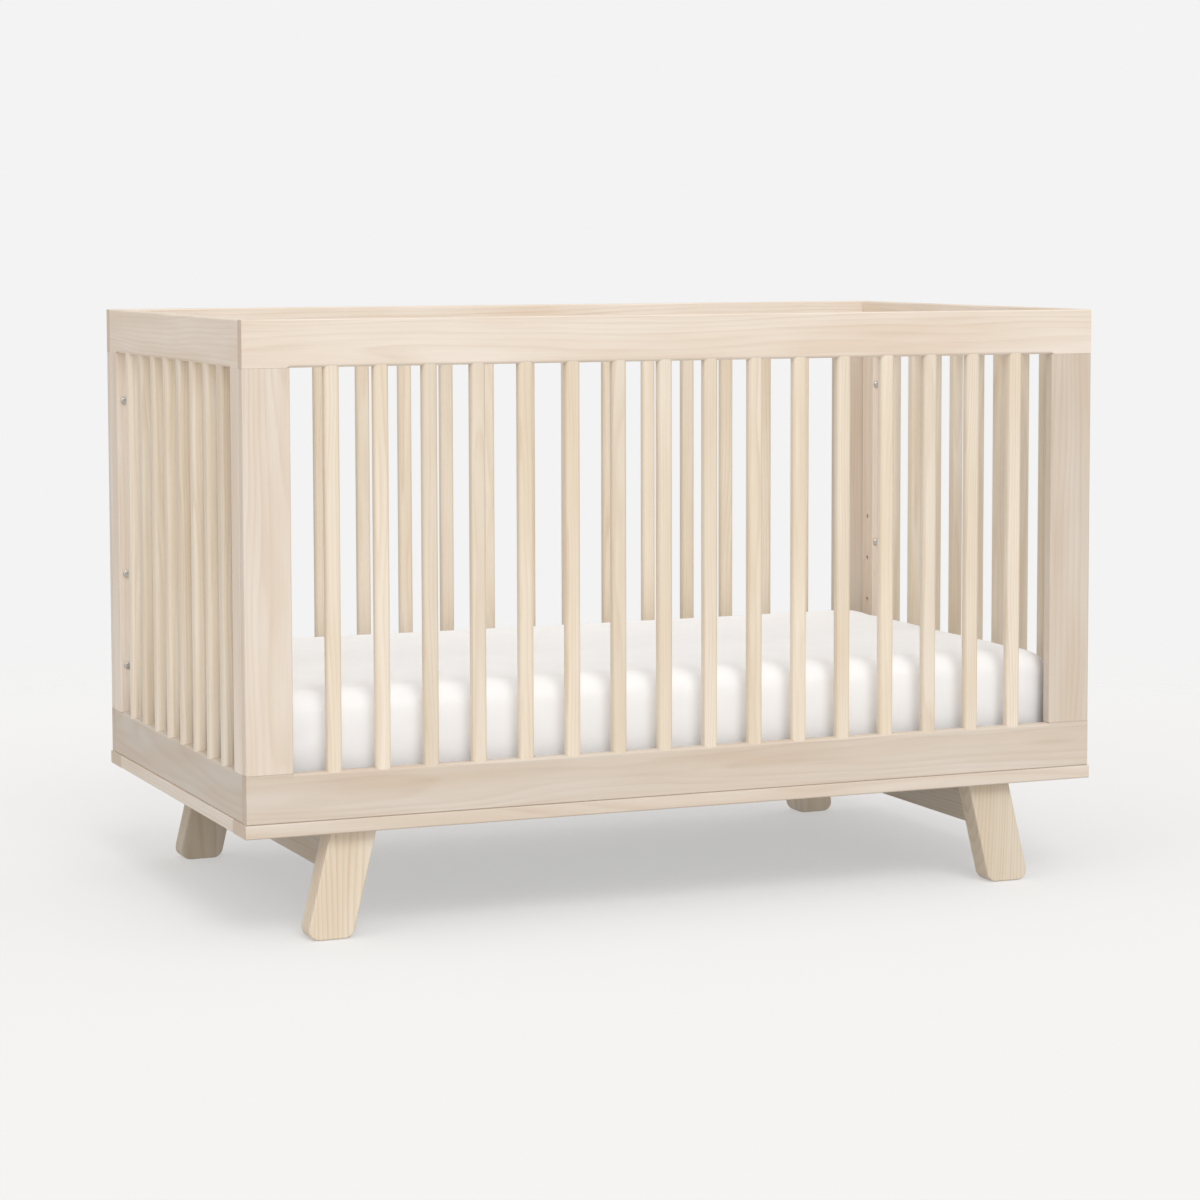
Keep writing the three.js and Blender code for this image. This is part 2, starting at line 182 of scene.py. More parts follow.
def makePine(name, pale, warm, late, ringStrength, ringSpacing):
    # Pine, planed, sanded and clear lacquered: pale early wood with soft honey lines of late wood,
    # fine fibres along the board, and a satin sheen. grainPlace runs along the grain in x.
    material = bpy.data.materials.new(name)
    material.use_nodes = True
    tree = material.node_tree
    tree.nodes.clear()
    place = addNode(tree, "ShaderNodeAttribute", {"attribute_name": "grainPlace"})
    toneAndShade = addNode(tree, "ShaderNodeAttribute", {"attribute_name": "boardToneAndShade"})

    # The rings wander slowly along the board
    slow = addNode(tree, "ShaderNodeMapping", {"Scale": pine["wander"]},
                   {"Vector": place.outputs["Vector"]})
    wander = addNode(tree, "ShaderNodeTexNoise", {"Scale": 1.0, "Detail": 2.0, "Roughness": 0.5},
                     {"Vector": slow.outputs[0]})
    centred = addNode(tree, "ShaderNodeVectorMath", {"operation": "SUBTRACT", 1: (0.5, 0.5, 0.5)},
                      {0: wander.outputs["Color"]})
    reach = pine["wanderReach"]
    push = addNode(tree, "ShaderNodeVectorMath", {"operation": "MULTIPLY", 1: (0.0, reach, reach)},
                   {0: centred.outputs[0]})
    bent = addNode(tree, "ShaderNodeVectorMath", {"operation": "ADD"},
                   {0: place.outputs["Vector"], 1: push.outputs[0]})
    across = addNode(tree, "ShaderNodeVectorMath", {"operation": "MULTIPLY", 1: (0.0, 1.0, 1.0)},
                     {0: bent.outputs[0]})
    radius = addNode(tree, "ShaderNodeVectorMath", {"operation": "LENGTH"}, {0: across.outputs[0]})
    rings = addNode(tree, "ShaderNodeMath", {"operation": "DIVIDE", 1: ringSpacing},
                    {0: radius.outputs["Value"]})
    year = addNode(tree, "ShaderNodeMath", {"operation": "FRACT"}, {0: rings.outputs[0]})
    # Early wood darkens slowly into late wood, then stops short
    growth = addNode(tree, "ShaderNodeValToRGB", None, {"Fac": year.outputs[0]})
    ramp = growth.color_ramp
    ramp.elements[0].position = 0.0
    ramp.elements[0].color = (0.55, 0.55, 0.55, 1)
    ramp.elements[1].position = 0.10
    ramp.elements[1].color = (0.0, 0.0, 0.0, 1)
    for position, level in ((0.45, 0.12), (0.86, 0.85), (0.95, 1.0), (1.0, 0.55)):
        ramp.elements.new(position).color = (level, level, level, 1)

    # Broad streaks that make some years stronger than others
    wide = addNode(tree, "ShaderNodeMapping",
                   {"Scale": (1.4, 1 / pine["streakWidth"], 1 / pine["streakWidth"])},
                   {"Vector": bent.outputs[0]})
    streaks = addNode(tree, "ShaderNodeTexNoise", {"Scale": 1.0, "Detail": 3.0, "Roughness": 0.55},
                      {"Vector": wide.outputs[0]})
    strong = addNode(tree, "ShaderNodeMapRange", {"From Min": 0.30, "From Max": 0.72,
                     "To Min": 0.15, "To Max": 1.0}, {"Value": streaks.outputs["Fac"]})
    lines = addNode(tree, "ShaderNodeMath", {"operation": "MULTIPLY"},
                    {0: growth.outputs["Color"], 1: strong.outputs["Result"]})
    lines = addNode(tree, "ShaderNodeMath", {"operation": "MULTIPLY", 1: ringStrength},
                    {0: lines.outputs[0]})

    # Fibres
    fine = addNode(tree, "ShaderNodeMapping",
                   {"Scale": (14.0, 1 / pine["fibreWidth"], 1 / pine["fibreWidth"])},
                   {"Vector": place.outputs["Vector"]})
    fibre = addNode(tree, "ShaderNodeTexNoise", {"Scale": 1.0, "Detail": 3.0, "Roughness": 0.6},
                    {"Vector": fine.outputs[0]})
    # Patches of warmer wood a hand's breadth long
    patch = addNode(tree, "ShaderNodeMapping", {"Scale": pine["patches"]},
                    {"Vector": place.outputs["Vector"]})
    patches = addNode(tree, "ShaderNodeTexNoise", {"Scale": 1.0, "Detail": 2.0, "Roughness": 0.5},
                      {"Vector": patch.outputs[0]})
    warmth = addNode(tree, "ShaderNodeMapRange", {"From Min": 0.35, "From Max": 0.75},
                     {"Value": patches.outputs["Fac"]})
    base = addNode(tree, "ShaderNodeMix", {"data_type": "RGBA", 6: linear(pale), 7: linear(warm)},
                   {0: warmth.outputs["Result"]})
    ringed = addNode(tree, "ShaderNodeMix", {"data_type": "RGBA", 7: linear(late)},
                     {0: lines.outputs[0], 6: base.outputs[2]})
    # End grain drinks more lacquer, so it is darker
    ends = addNode(tree, "ShaderNodeAttribute", {"attribute_name": "endGrain"})
    soaked = addNode(tree, "ShaderNodeMath", {"operation": "MULTIPLY", 1: pine["endGrain"]},
                     {0: ends.outputs["Fac"]})
    ringed = addNode(tree, "ShaderNodeMix", {"data_type": "RGBA", 7: linear(late)},
                     {0: soaked.outputs[0], 6: ringed.outputs[2]})
    shade = addNode(tree, "ShaderNodeMapRange", {"From Min": 0.3, "From Max": 0.7,
                    "To Min": 0.965, "To Max": 1.025}, {"Value": fibre.outputs["Fac"]})
    # Boards from different planks differ, and the same tone factor also carries painted shade and light on
    # the boards and legs: it is 1 for the palest
    lightness = addNode(tree, "ShaderNodeMath", {"operation": "MULTIPLY"},
                        {0: shade.outputs["Result"], 1: toneAndShade.outputs["Fac"]})
    colour = addNode(tree, "ShaderNodeVectorMath", {"operation": "SCALE"},
                     {0: ringed.outputs[2], "Scale": lightness.outputs[0]})

    # Sanding leaves the late wood a little proud and the fibres just felt
    height = addNode(tree, "ShaderNodeMath", {"operation": "MULTIPLY_ADD", 1: 0.4},
                     {0: fibre.outputs["Fac"], 2: lines.outputs[0]})
    bump = addNode(tree, "ShaderNodeBump", {"Strength": 0.10, "Distance": 0.0004},
                   {"Height": height.outputs[0]})
    gloss = addNode(tree, "ShaderNodeMapRange", {"From Min": 0.3, "From Max": 0.7,
                    "To Min": pine["roughness"] - 0.04, "To Max": pine["roughness"] + 0.05},
                    {"Value": fibre.outputs["Fac"]})
    skin = addNode(tree, "ShaderNodeBsdfPrincipled",
                   {"IOR": 1.5, "Coat Weight": pine["coat"], "Coat Roughness": 0.3},
                   {"Base Color": colour.outputs[0], "Roughness": gloss.outputs["Result"],
                    "Normal": bump.outputs[0]})
    addNode(tree, "ShaderNodeOutputMaterial", None, {"Surface": skin.outputs[0]})
    return material


def makeMetal(name, colour, metallic, roughness, grit, gritDepth, specular):
    # A metal finish with a fine uneven surface, in Object coordinates
    material = bpy.data.materials.new(name)
    material.use_nodes = True
    tree = material.node_tree
    tree.nodes.clear()
    place = addNode(tree, "ShaderNodeTexCoord")
    speck = addNode(tree, "ShaderNodeTexNoise", {"Scale": 1 / grit, "Detail": 3.0, "Roughness": 0.6},
                    {"Vector": place.outputs["Object"]})
    cloud = addNode(tree, "ShaderNodeTexNoise", {"Scale": 1 / (40 * mm), "Detail": 2.0},
                    {"Vector": place.outputs["Object"]})
    tint = addNode(tree, "ShaderNodeMapRange", {"From Min": 0.3, "From Max": 0.7,
                   "To Min": 0.93, "To Max": 1.05}, {"Value": cloud.outputs["Fac"]})
    paint = addNode(tree, "ShaderNodeVectorMath", {"operation": "SCALE", 0: linear(colour)[:3]},
                    {"Scale": tint.outputs["Result"]})
    gloss = addNode(tree, "ShaderNodeMapRange", {"From Min": 0.3, "From Max": 0.7,
                    "To Min": roughness - 0.05, "To Max": roughness + 0.07},
                    {"Value": cloud.outputs["Fac"]})
    bump = addNode(tree, "ShaderNodeBump", {"Strength": gritDepth, "Distance": 0.0002},
                   {"Height": speck.outputs["Fac"]})
    skin = addNode(tree, "ShaderNodeBsdfPrincipled",
                   {"Metallic": metallic, "Specular IOR Level": specular},
                   {"Base Color": paint.outputs[0], "Roughness": gloss.outputs["Result"],
                    "Normal": bump.outputs[0]})
    addNode(tree, "ShaderNodeOutputMaterial", None, {"Surface": skin.outputs[0]})
    return material


sheetCloth = {
    "thread": 1.1 * mm,  # drawn four times as coarse as percale, so that the weave shows
    "colour": "FAFBFD",
    "shadow": "F3F4F6",
}


def makeCotton():
    # Cotton percale, woven and washed: matt white with a faint plain weave and a soft nap
    material = bpy.data.materials.new("white cotton percale")
    material.use_nodes = True
    tree = material.node_tree
    tree.nodes.clear()
    place = addNode(tree, "ShaderNodeTexCoord")
    turns = 2 * math.pi / sheetCloth["thread"] / 2
    wound = addNode(tree, "ShaderNodeVectorMath", {"operation": "MULTIPLY", 1: (turns, turns, turns)},
                    {0: place.outputs["Object"]})
    wave = addNode(tree, "ShaderNodeVectorMath", {"operation": "SINE"}, {0: wound.outputs[0]})
    split = addNode(tree, "ShaderNodeSeparateXYZ", None, {0: wave.outputs[0]})
    # Over and under along both threads, on the top and on the four sides
    over = addNode(tree, "ShaderNodeMath", {"operation": "MULTIPLY"},
                   {0: split.outputs[0], 1: split.outputs[1]})
    side = addNode(tree, "ShaderNodeMath", {"operation": "MULTIPLY_ADD"},
                   {0: split.outputs[0], 1: split.outputs[2], 2: over.outputs[0]})
    weave = addNode(tree, "ShaderNodeMath", {"operation": "MULTIPLY_ADD"},
                    {0: split.outputs[1], 1: split.outputs[2], 2: side.outputs[0]})
    nap = addNode(tree, "ShaderNodeTexNoise", {"Scale": 1 / (2.5 * mm), "Detail": 4.0, "Roughness": 0.65},
                  {"Vector": place.outputs["Object"]})
    height = addNode(tree, "ShaderNodeMath", {"operation": "MULTIPLY_ADD", 1: 1.2},
                     {0: nap.outputs["Fac"], 2: weave.outputs[0]})
    bump = addNode(tree, "ShaderNodeBump", {"Strength": 0.10, "Distance": 0.0003},
                   {"Height": height.outputs[0]})
    worn = addNode(tree, "ShaderNodeTexNoise", {"Scale": 1 / (60 * mm), "Detail": 3.0},
                   {"Vector": place.outputs["Object"]})
    mix = addNode(tree, "ShaderNodeMix", {"data_type": "RGBA", 6: linear(sheetCloth["colour"]),
                  7: linear(sheetCloth["shadow"])}, {0: worn.outputs["Fac"]})
    skin = addNode(tree, "ShaderNodeBsdfPrincipled",
                   {"Roughness": 0.92, "Sheen Weight": 0.12, "Sheen Roughness": 0.5, "IOR": 1.46,
                    "Specular IOR Level": 0.25, "Subsurface Weight": 0.15,
                    "Subsurface Radius": (1.0, 1.0, 1.0), "Subsurface Scale": 8 * mm},
                   {"Base Color": mix.outputs[2], "Normal": bump.outputs[0]})
    addNode(tree, "ShaderNodeOutputMaterial", None, {"Surface": skin.outputs[0]})
    return material


# Tools that the pieces share

def clearSelection():
    if bpy.context.object and bpy.context.object.mode != "OBJECT":
        bpy.ops.object.mode_set(mode="OBJECT")
    bpy.ops.object.select_all(action="DESELECT")


def startCube(name, low, high):
    # A block between two corners, as the start of a piece
    clearSelection()
    low, high = Vector(low), Vector(high)
    bpy.ops.mesh.primitive_cube_add(size=1, location=(low + high) / 2, scale=high - low)
    return settle(name)


def startCylinder(name, radius, length, place, sides, turn=(0, 0, 0)):
    clearSelection()
    bpy.ops.mesh.primitive_cylinder_add(vertices=sides, radius=radius, depth=length, location=place,
                                        rotation=turn)
    return settle(name)


def settle(name):
    # Names the new object and puts its place into its mesh
    piece = bpy.context.object
    piece.name = name
    bpy.ops.object.transform_apply(location=True, rotation=True, scale=True)
    return piece


def pick(piece, kind, test):
    # Leaves only the vertices, edges or faces that pass the test selected, in edit mode
    bpy.ops.mesh.select_mode(type=kind)
    bpy.ops.mesh.select_all(action="DESELECT")
    shape = bmesh.from_edit_mesh(piece.data)
    shape.normal_update()
    for item in {"VERT": shape.verts, "EDGE": shape.edges, "FACE": shape.faces}[kind]:
        if test(item):
            item.select_set(True)
    bmesh.update_edit_mesh(piece.data)


def runsAlong(edge, axis):
    line = edge.verts[1].co - edge.verts[0].co
    return abs(line[axis]) > 0.99 * line.length


def bevelEdges(piece, test, offset, segments):
    clearSelection()
    bpy.context.view_layer.objects.active = piece
    piece.select_set(True)
    bpy.ops.object.mode_set(mode="EDIT")
    pick(piece, "EDGE", test)
    bpy.ops.mesh.bevel(offset=offset, segments=segments, profile=0.5, affect="EDGES")
    bpy.ops.object.mode_set(mode="OBJECT")


def mergePoints(piece, gap):
    clearSelection()
    bpy.context.view_layer.objects.active = piece
    piece.select_set(True)
    bpy.ops.object.mode_set(mode="EDIT")
    bpy.ops.mesh.select_all(action="SELECT")
    bpy.ops.mesh.remove_doubles(threshold=gap)
    bpy.ops.object.mode_set(mode="OBJECT")


def applyModifier(piece, kind, settings):
    clearSelection()
    bpy.context.view_layer.objects.active = piece
    piece.select_set(True)
    modifier = piece.modifiers.new(kind.lower(), kind)
    for key, value in settings.items():
        setattr(modifier, key, value)
    bpy.ops.object.modifier_apply(modifier=modifier.name)


def smooth(piece, angle=40, creased=None):
    # Round edges shade round and flat faces stay flat. Edges that pass the test stay creased
    clearSelection()
    bpy.context.view_layer.objects.active = piece
    piece.select_set(True)
    bpy.ops.object.shade_smooth_by_angle(angle=math.radians(angle))
    if creased:
        bpy.ops.object.mode_set(mode="EDIT")
        pick(piece, "EDGE", creased)
        bpy.ops.mesh.mark_sharp()
        bpy.ops.object.mode_set(mode="OBJECT")
    applyModifier(piece, "WEIGHTED_NORMAL", {"weight": 100, "keep_sharp": True})


def copyPiece(master, name, matrix):
    piece = bpy.data.objects.new(name, master.data.copy())
    piece.data.name = name
    piece.data.transform(matrix)
    bpy.context.scene.collection.objects.link(piece)
    return piece


def finishPiece(piece, material, slot, body, *nodes):
    piece.data.materials.clear()
    piece.data.materials.append(material)
    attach(piece, body)
    for node in nodes:
        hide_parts(node)


grainAxes = {"x": (0, 1, 2), "y": (1, 0, 2), "z": (2, 0, 1)}


def cutFromLog(piece, grain, seed, darkest, palest):
    # Gives a piece its own place in a log, and its own tone between two limits. For boards and legs both
    # limits are one set value, which also paints in shade or light
    draw = random.Random(seed)
    turn = draw.uniform(0, 2 * math.pi)
    fromPith = draw.uniform(*pine["fromPith"])
    around = draw.uniform(0, 2 * math.pi)
    along = draw.uniform(0, 40)
    slope = draw.uniform(-pine["slope"], pine["slope"])
    mesh = piece.data
    low = [min(v.co[k] for v in mesh.vertices) for k in range(3)]
    high = [max(v.co[k] for v in mesh.vertices) for k in range(3)]
    a, b, c = grainAxes[grain]
    toneAndShade = draw.uniform(darkest, palest)
    spots = []
    for vertex in mesh.vertices:
        run = vertex.co[a] - (low[a] + high[a]) / 2
        u = vertex.co[b] - (low[b] + high[b]) / 2
        v = vertex.co[c] - (low[c] + high[c]) / 2
        spots += [run + along,
                  u * math.cos(turn) - v * math.sin(turn) + fromPith * math.cos(around) + slope * run,
                  u * math.sin(turn) + v * math.cos(turn) + fromPith * math.sin(around)]
    mesh.attributes.new("grainPlace", "FLOAT_VECTOR", "POINT").data.foreach_set("vector", spots)
    ends = [float(abs(face.normal[a]) > 0.8) for face in mesh.polygons]
    mesh.attributes.new("endGrain", "FLOAT", "FACE").data.foreach_set("value", ends)
    toneAndShadeValues = [toneAndShade] * len(mesh.vertices)
    mesh.attributes.new("boardToneAndShade", "FLOAT", "POINT").data.foreach_set("value", toneAndShadeValues)


# The four panels

panelBoards = {
    "railEase": 2.2 * mm,
    "uprightEase": 2.0 * mm,
    "endEase": 0.8 * mm,
    "segments": 4,
    "smoothAngle": 25,  # less than a step of the small end bevels, so that the faces stay flat
    "jointEase": 0.8 * mm,  # leaves a fine line where a board butts against another
    "routed": 5.0 * mm,  # round-over along the openings, stopped at the stiles and posts
    "routedSegments": 7,
}
supportHoles = {
    "radius": 4.0 * mm,
    "depth": 13 * mm,
    "heights": [0.294, 0.367, 0.440, 0.513],
}


def makeBoard(node, grain, ease, endEase, opening=None, innerZ=None):
    # A board with its long edges rounded over and its ends just broken. A rail's two edges next to
    # the slats have a larger round-over, stopped where the opening ends
    low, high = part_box(node)
    piece = startCube(node + "_timber", low, high)
    axis = "xyz".index(grain)
    middle = (low[axis] + high[axis]) / 2

    def atOpening(edge):
        return innerZ is not None and all(abs(v.co.z - innerZ) < 1e-5 for v in edge.verts)

    if opening:
        bpy.ops.object.mode_set(mode="EDIT")
        for stop in opening:
            spot = [(low[k] + high[k]) / 2 for k in range(3)]
            spot[axis] = stop
            bpy.ops.mesh.select_all(action="SELECT")
            bpy.ops.mesh.bisect(plane_co=spot, plane_no=[float(k == axis) for k in range(3)])
        bpy.ops.object.mode_set(mode="OBJECT")
        bevelEdges(piece, lambda edge: runsAlong(edge, axis) and atOpening(edge)
                   and abs(sum(v.co[axis] for v in edge.verts) - sum(opening)) < 1e-3,
                   panelBoards["routed"], panelBoards["routedSegments"])
    bevelEdges(piece, lambda edge: runsAlong(edge, axis) and edge.calc_face_angle(0) > 1
               and not atOpening(edge), ease, panelBoards["segments"])
    if endEase:
        reach = (high[axis] - low[axis]) / 2 - 1e-5
        bevelEdges(piece, lambda edge: all(abs(v.co[axis] - middle) > reach for v in edge.verts)
                   and not atOpening(edge), endEase, 2)
    return piece


def routeEnds(grain, opening, innerZ):
    # A test for the edges where a routed round-over runs out, just past the opening
    axis = "xyz".index(grain)
    reach = panelBoards["routed"]
    ends = (min(opening) - reach, max(opening) + reach)

    def atEnd(vertex):
        return abs(vertex.co.z - innerZ) < 1e-5 and min(abs(vertex.co[axis] - end) for end in ends) < 1e-4

    return lambda edge: any(atEnd(vertex) for vertex in edge.verts)


def makePanels():
    for node, grain, ease, endEase, toneAndShade in boardList():
        if node.endswith("_rail"):
            axis = "xyz".index(grain)
            low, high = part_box(node)
            opening = [corner[axis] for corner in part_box(node.split("_")[0] + "_slats")]
            innerZ = low.z if "top" in node else high.z
            piece = makeBoard(node, grain, ease, endEase, opening, innerZ)
            smooth(piece, panelBoards["smoothAngle"], routeEnds(grain, opening, innerZ))
        else:
            piece = makeBoard(node, grain, ease, endEase)
            if node.endswith("_post"):
                drillPost(piece, node)
            smooth(piece, panelBoards["smoothAngle"])
        cutFromLog(piece, grain, node, toneAndShade, toneAndShade)
        finishPiece(piece, boardPine, "pine_boards", "root", node)
    print("panels: rails, stiles and posts")


def boardList():
    rail = panelBoards["railEase"]
    upright = panelBoards["uprightEase"]
    end = panelBoards["endEase"]
    joint = panelBoards["jointEase"]
    # The last column is each board's tone, which paints light and shade: the bottom rails and the
    # right-hand stiles are darker as painted shade, where the light falls off downwards and to the right,
    # and the end panels' top rails and the front posts are paler as painted light
    rows = []
    for side, grain in (("front", "x"), ("back", "x"), ("left", "y"), ("right", "y")):
        # Long rails show their ends at the corners, short rails butt against them
        railEnd = end if grain == "x" else joint
        rows.append((side + "_top_rail", grain, rail, railEnd, 1.0 if grain == "x" else 1.06))
        rows.append((side + "_bottom_rail", grain, rail, railEnd, 0.82 if grain == "x" else 0.76))
    for side in ("front", "back"):
        rows.append((side + "_left_stile", "z", upright, joint, 0.94))
        rows.append((side + "_right_stile", "z", upright, joint, 0.82))
    for side in ("left", "right"):
        rows.append((side + "_front_post", "z", upright, 0, 1.04))
        rows.append((side + "_rear_post", "z", upright, 0, 1.0))
    return rows


def drillPost(piece, node):
    # A row of blind holes in the post's inner face, where the support's pins plug in
    low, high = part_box(node)
    sign = 1 if low.x > 0 else -1
    face = low.x if sign > 0 else high.x
    depth = supportHoles["depth"]
    for height in supportHoles["heights"]:
        drill = startCylinder("drill", supportHoles["radius"], 2 * depth,
                              (face, (low.y + high.y) / 2, height), 32, (0, math.pi / 2, 0))
        applyModifier(piece, "BOOLEAN", {"operation": "DIFFERENCE", "object": drill, "solver": "EXACT"})
        bpy.data.objects.remove(drill)


slats = {
    "width": 22.5 * mm,
    "thickness": 17.5 * mm,
    "edgeRadius": 6.2 * mm,
    "segments": 7,
    "intoRail": 6 * mm,
    "long": 16,
    "short": 8,
    "darkest": 0.93,
    "palest": 1.05,
}


def makeSlats():
    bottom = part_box("front_bottom_rail")[1].z
    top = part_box("front_top_rail")[0].z
    x, y, into = slats["width"] / 2, slats["thickness"] / 2, slats["intoRail"]
    master = startCube("slat", (-x, -y, bottom - into), (x, y, top + into))
    bevelEdges(master, lambda edge: runsAlong(edge, 2), slats["edgeRadius"], slats["segments"])
    smooth(master, 50)
    for side, count, across in (("front", slats["long"], 0), ("back", slats["long"], 0),
                                ("left", slats["short"], 1), ("right", slats["short"], 1)):
        low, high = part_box(side + "_slats")
        clear = high[across] - low[across]
        gap = (clear - count * slats["width"]) / (count + 1)
        for i in range(count):
            spot = (low + high) / 2
            spot[across] = low[across] + gap + slats["width"] / 2 + i * (slats["width"] + gap)
            spot.z = 0
            turn = Matrix.Rotation(math.pi / 2 if across else 0, 4, "Z")
            name = f"{side}_slat_{i + 1:02d}"
            piece = copyPiece(master, name, Matrix.Translation(spot) @ turn)
            cutFromLog(piece, "z", name, slats["darkest"], slats["palest"])
            finishPiece(piece, slatPine, "pine_slats", "root", side + "_slats")
    bpy.data.objects.remove(master)
    print("slats: 48")


# Base frame, legs and stretchers

# The stretchers' tone is set low as painted shade under the crib
base = {"ease": 2.2 * mm, "endEase": 0.8 * mm, "stretcherEase": 2.5 * mm, "stretcherToneAndShade": 0.74}
legs = {
    "topWidth": 70 * mm,
    "footRadius": 16 * mm,
    "splay": 13.4,
    "ease": 2.5 * mm,
    "footSegments": 8,
    # Tones that paint shade: the legs are darker to the right and at the back, and the rear left one is
    # darkest, as painted shade under the crib
    "toneAndShade": {"leg_front_left": 0.97, "leg_front_right": 0.86,
             "leg_rear_left": 0.72, "leg_rear_right": 0.84},
}


def makeBase():
    rows = [("base_front_board", "x", 0.87), ("base_rear_board", "x", 0.87),
            ("base_left_board", "y", 0.92), ("base_right_board", "y", 0.92)]
    for node, grain, toneAndShade in rows:
        piece = makeBoard(node, grain, base["ease"], base["endEase"] if grain == "x" else 0)
        smooth(piece, panelBoards["smoothAngle"])
        cutFromLog(piece, grain, node, toneAndShade, toneAndShade)
        finishPiece(piece, boardPine, "pine_boards", "root", node)
    for node in ("stretcher_left", "stretcher_right"):
        piece = makeBoard(node, "y", base["stretcherEase"], 0)
        smooth(piece)
        cutFromLog(piece, "y", node, base["stretcherToneAndShade"], base["stretcherToneAndShade"])
        finishPiece(piece, legPine, "pine_legs", "root", node)
    print("base frame and stretchers")


def makeLeg(node):
    low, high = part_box(node)
    side = 1 if low.x > 0 else -1
    height = high.z - low.z
    drift = height * math.tan(math.radians(legs["splay"]))
    inner = low.x if side > 0 else high.x
    outer = inner + side * legs["topWidth"]
    piece = startCube(node + "_timber", (min(inner, outer), low.y, 0),
                      (max(inner, outer), high.y, height))
    bpy.ops.object.mode_set(mode="EDIT")
    pick(piece, "FACE", lambda face: face.normal.z < -0.9)
    bpy.ops.transform.translate(value=(side * drift, 0, 0))
    bpy.ops.object.mode_set(mode="OBJECT")
    # Round the foot. The two corners differ, so each has its own run of arc
    splay = math.radians(legs["splay"])
    radius = legs["footRadius"]
    outerFoot = outer + side * drift
    innerFoot = inner + side * drift
    for foot, reach in ((outerFoot, radius / math.tan((math.pi / 2 - splay) / 2)),
                        (innerFoot, radius / math.tan((math.pi / 2 + splay) / 2))):
        bevelEdges(piece, lambda edge: runsAlong(edge, 1) and edge.verts[0].co.z < 1e-4
                   and abs(edge.verts[0].co.x - foot) < 1e-4, reach, legs["footSegments"])
    # Ease the outline of the two broad faces, but not along the top
    bevelEdges(piece, lambda edge: abs(edge.verts[0].co.y - edge.verts[1].co.y) < 1e-5
               and (edge.verts[0].co.z + edge.verts[1].co.z) / 2 < height - 1e-3,
               legs["ease"], 4)
    smooth(piece)
    cutFromLog(piece, "z", node, legs["toneAndShade"][node], legs["toneAndShade"][node])
    finishPiece(piece, legPine, "pine_legs", "root", node)


def makeLegs():
    for row in ("front", "rear"):
        for side in ("left", "right"):
            makeLeg(f"leg_{row}_{side}")
    print("legs: 4")


# Bolts and pins

bolts = {
    "headRadius": 6 * mm,
    "headHeight": 3.5 * mm,
    "domeShare": 0.72,  # of the head's height that is rounded
    "socketAcross": 4.0 * mm,
    "socketDepth": 2.2 * mm,
    "shankRadius": 3 * mm,
}


def makeBolts():
    # A domed head with a hexagon socket on a plain shank, the head towards +Z and its seat at z = 0
    height = bolts["headHeight"]
    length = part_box("bolt_left_front_low")[1].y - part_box("bolt_left_front_low")[0].y
    master = startCylinder("bolt", bolts["headRadius"], height, (0, 0, height / 2), 48)
    bevelEdges(master, lambda edge: all(v.co.z > height - 1e-6 for v in edge.verts),
               bolts["domeShare"] * height, 8)
    hexagon = startCylinder("hexagon", bolts["socketAcross"] / math.sqrt(3), 2 * bolts["socketDepth"],
                            (0, 0, height), 6)
    applyModifier(master, "BOOLEAN", {"operation": "DIFFERENCE", "object": hexagon, "solver": "EXACT"})
    bpy.data.objects.remove(hexagon)
    shank = startCylinder("shank", bolts["shankRadius"], length - height,
                          (0, 0, -(length - height) / 2), 24)
    clearSelection()
    shank.select_set(True)
    master.select_set(True)
    bpy.context.view_layer.objects.active = master
    bpy.ops.object.join()
    smooth(master, 35)
    for node in sorted(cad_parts):
        if node.startswith("bolt_"):
            low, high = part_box(node)
            side = 1 if low.y > 0 else -1
            seat = (low.y if side > 0 else high.y) + side * height
            turn = Matrix.Rotation(side * math.pi / 2, 4, "X")
            spot = Matrix.Translation(((low.x + high.x) / 2, seat, (low.z + high.z) / 2))
            piece = copyPiece(master, node + "_zinc", spot @ turn)
            finishPiece(piece, zincSteel, "zinc_bolts", "root", node)
    bpy.data.objects.remove(master)
    print("bolts: 12")


pins = {
    "radius": 3.5 * mm,
    "endEase": 0.8 * mm,
    "collarRadius": 7 * mm,
    "collarEase": 0.5 * mm,
    "collarFrom": 2.75 * mm,
    "collarTo": 6.25 * mm,
}


def makePins():
    # A turned pin along X, its free end at x = 0, with a collar that stops it against the post
    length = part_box("support_pin_front_right")[1].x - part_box("support_pin_front_right")[0].x
    across = (0, math.pi / 2, 0)
    master = startCylinder("pin", pins["radius"], length, (length / 2, 0, 0), 32, across)
    bevelEdges(master, lambda edge: all(v.co.x < 1e-6 for v in edge.verts), pins["endEase"], 3)
    middle = (pins["collarFrom"] + pins["collarTo"]) / 2
    collar = startCylinder("collar", pins["collarRadius"], pins["collarTo"] - pins["collarFrom"],
                           (middle, 0, 0), 40, across)
    bevelEdges(collar, lambda edge: not runsAlong(edge, 0), pins["collarEase"], 3)
    clearSelection()
    collar.select_set(True)
    master.select_set(True)
    bpy.context.view_layer.objects.active = master
    bpy.ops.object.join()
    smooth(master, 35)
    for row in ("front", "rear"):
        for side in ("left", "right"):
            node = f"support_pin_{row}_{side}"
            low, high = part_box(node)
            start = low.x if side == "right" else high.x
            turn = Matrix.Rotation(0 if side == "right" else math.pi, 4, "Z")
            spot = Matrix.Translation((start, (low.y + high.y) / 2, (low.z + high.z) / 2))
            piece = copyPiece(master, node + "_zinc", spot @ turn)
            finishPiece(piece, zincSteel, "zinc_bolts", "root", node)
    bpy.data.objects.remove(master)
    print("support pins: 4")


# Mattress support

